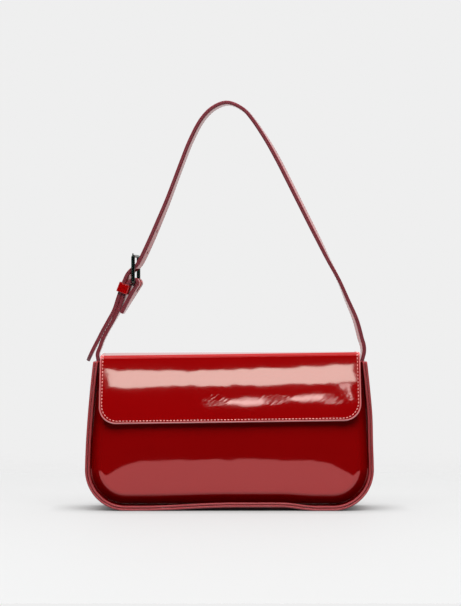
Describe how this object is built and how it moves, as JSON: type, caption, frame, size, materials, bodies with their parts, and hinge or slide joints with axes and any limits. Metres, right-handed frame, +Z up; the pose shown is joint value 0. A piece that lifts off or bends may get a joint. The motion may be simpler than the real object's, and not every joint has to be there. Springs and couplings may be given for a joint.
{
  "type": "flap shoulder bag",
  "caption": "Small flap-over shoulder bag of glossy red leather with a U-shaped gusset, raised rim and one buckled strap.",
  "frame": {"origin": "on the floor under the middle of the base", "axes": "+Z up, +X to the right as seen from the front, the front with the flap's free edge faces -Y"},
  "size_m": [0.27, 0.066, 0.3829],
  "materials": {
    "patent_leather": "deep red patent, high gloss",
    "facing_leather": "red, smooth, satin",
    "lining_cloth": "dark red twill",
    "fibre_board": "bonded leather fibre, raw",
    "gunmetal": "dark gunmetal plating, polished",
    "magnet_steel": "plated, hidden"
  },
  "bodies": {
    "body": {"gusset_outer": "patent_leather", "gusset_lining": "lining_cloth", "base_board": "lining_cloth", "front_panel": "patent_leather", "front_board": "fibre_board", "front_lining": "lining_cloth", "front_mouth_facing": "facing_leather", "front_magnet": "magnet_steel", "back_panel": "patent_leather", "back_board": "fibre_board", "back_lining": "lining_cloth", "back_mouth_facing": "facing_leather", "slip_pocket": "lining_cloth", "left_strap_root": "patent_leather", "right_strap_root": "patent_leather"},
    "flap": {"flap_outer": "patent_leather", "flap_board": "fibre_board", "flap_lining": "facing_leather", "flap_magnet": "magnet_steel"},
    "strap": {"long_strap_outer": "patent_leather", "long_strap_inner": "facing_leather", "short_strap_outer": "patent_leather", "short_strap_inner": "facing_leather"},
    "buckle": {"buckle_frame": "gunmetal"},
    "prong": {"buckle_prong": "gunmetal"},
    "keeper": {"keeper_loop": "patent_leather"}
  },
  "joints": [
    {"name": "flap_hinge", "type": "hinge", "parent": "body", "child": "flap", "pos_m": [0, 0.02229, 0.13865], "axis": [-1, 0, 0], "range_deg": [0, 170], "deforming": ["flap_outer", "flap_board", "flap_lining"]},
    {"name": "strap_swing", "type": "hinge", "parent": "body", "child": "strap", "pos_m": [0, 0, 0.16], "axis": [1, 0, 0], "range_deg": [-90, 90], "deforming": ["left_strap_root", "right_strap_root"]},
    {"name": "buckle_tilt", "type": "hinge", "parent": "strap", "child": "buckle", "pos_m": [-0.08869, 0, 0.21287], "axis": [0, -1, 0], "range_deg": [-3, 3]},
    {"name": "prong_pivot", "type": "hinge", "parent": "buckle", "child": "prong", "pos_m": [-0.08869, 0, 0.21287], "axis": [0, -1, 0], "range_deg": [0, 6]},
    {"name": "keeper_slide", "type": "slide", "parent": "strap", "child": "keeper", "axis": [-0.3605, 0, -0.9327], "range_m": [0, 0.003]}
  ]
}
